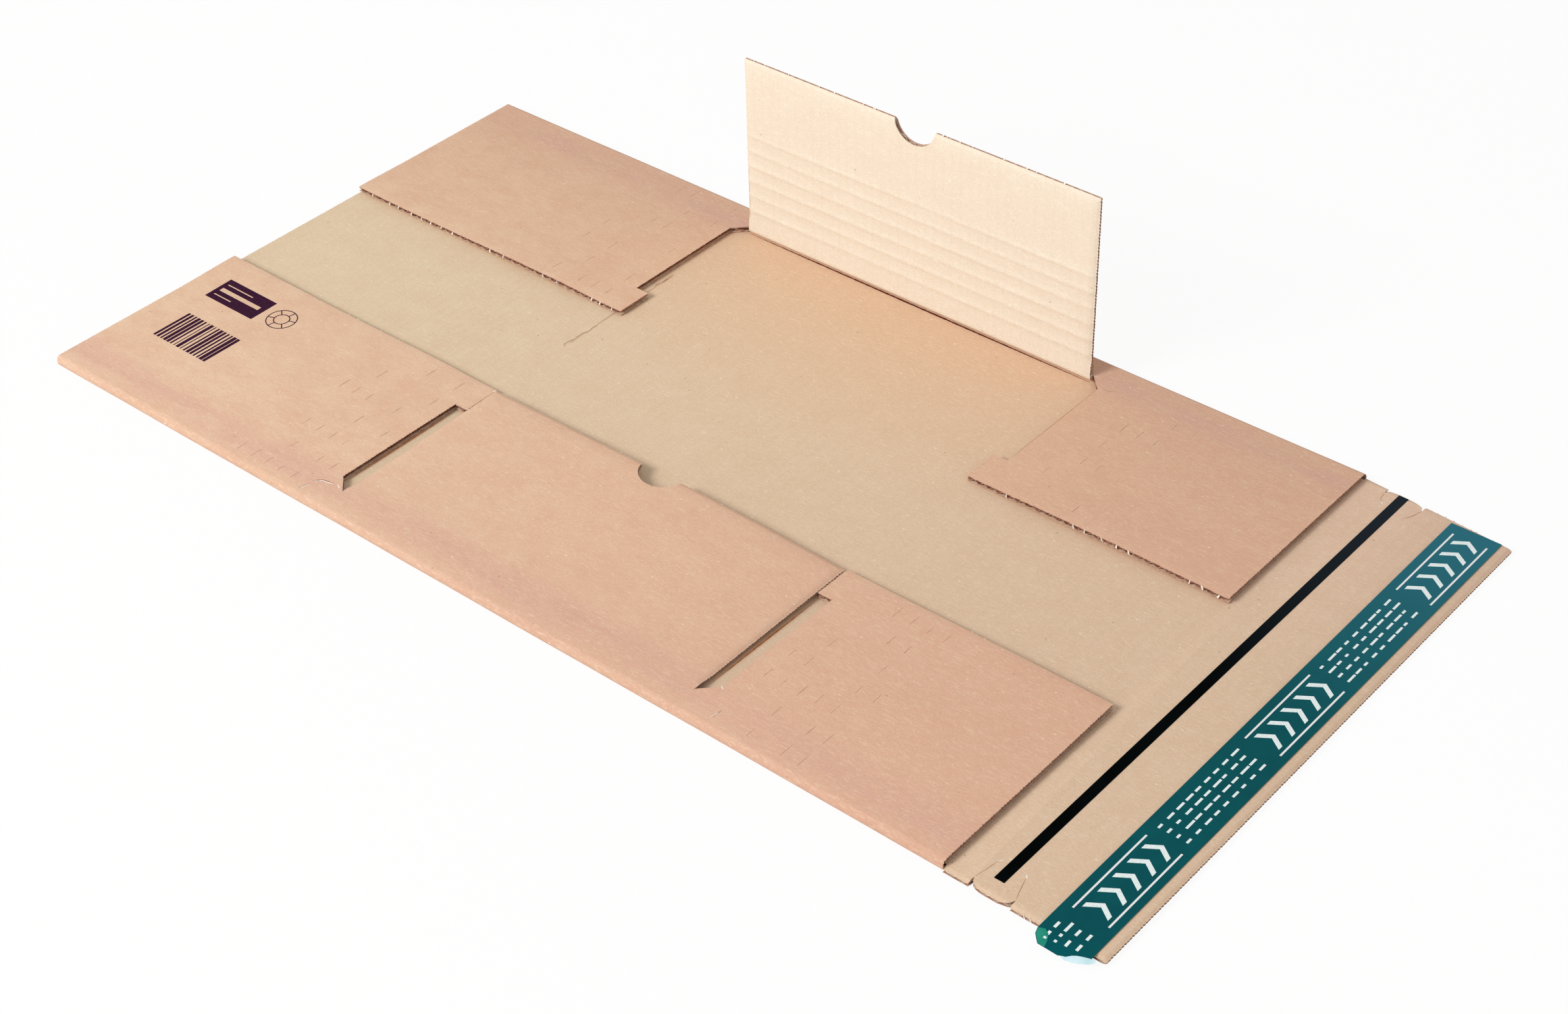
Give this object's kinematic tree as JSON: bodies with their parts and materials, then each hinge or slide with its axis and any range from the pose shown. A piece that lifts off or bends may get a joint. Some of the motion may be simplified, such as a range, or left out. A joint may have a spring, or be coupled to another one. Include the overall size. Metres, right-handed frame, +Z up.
{
  "type": "wraparound mailer",
  "caption": "Corrugated board mailer lying open, with wings and flaps that fold round its contents, glued side panels, a tear tape and a self-adhesive closure under a release liner.",
  "frame": {"origin": "centre of the underside of the centre panel, midway between the two wing creases and between the two outer folds", "axes": "+X along the sheet towards the closure end, +Y across it to the far side, where the flap stands up, +Z up"},
  "size_m": [0.705, 0.365, 0.1191],
  "materials": {
    "kraft_board": "matte kraft",
    "kraft_board_inside": "matte kraft",
    "glue": "satin",
    "tear_tape": "satin film",
    "adhesive": "tacky",
    "release_liner": "siliconised film"
  },
  "bodies": {
    "centre": {"centre_panel": "kraft_board"},
    "left_side": {"left_wing": "kraft_board", "glue_line_near_left": "glue", "glue_line_far_left": "glue"},
    "right_side": {"right_wing": "kraft_board", "glue_line_near_right": "glue", "glue_line_far_right": "glue", "tear_tape": "tear_tape", "closure_adhesive": "adhesive", "release_liner": "release_liner"},
    "near_flap_body": {"near_flap": "kraft_board"},
    "far_flap_body": {"far_flap": "kraft_board_inside"}
  },
  "joints": [
    {"name": "left_wing_crease", "type": "hinge", "parent": "centre", "child": "left_side", "pos_m": [-0.1218, 0, 0.007], "axis": [0, 1, 0], "range_deg": [0, 90]},
    {"name": "right_wing_crease", "type": "hinge", "parent": "centre", "child": "right_side", "pos_m": [0.1218, 0, 0.007], "axis": [0, -1, 0], "range_deg": [0, 90]},
    {"name": "near_flap_crease", "type": "hinge", "parent": "centre", "child": "near_flap_body", "pos_m": [0, -0.1626, 0.007], "axis": [1, 0, 0], "range_deg": [0, 175]},
    {"name": "far_flap_crease", "type": "hinge", "parent": "centre", "child": "far_flap_body", "pos_m": [0, 0.1626, 0.007], "axis": [-1, 0, 0], "range_deg": [-90, 85]}
  ]
}
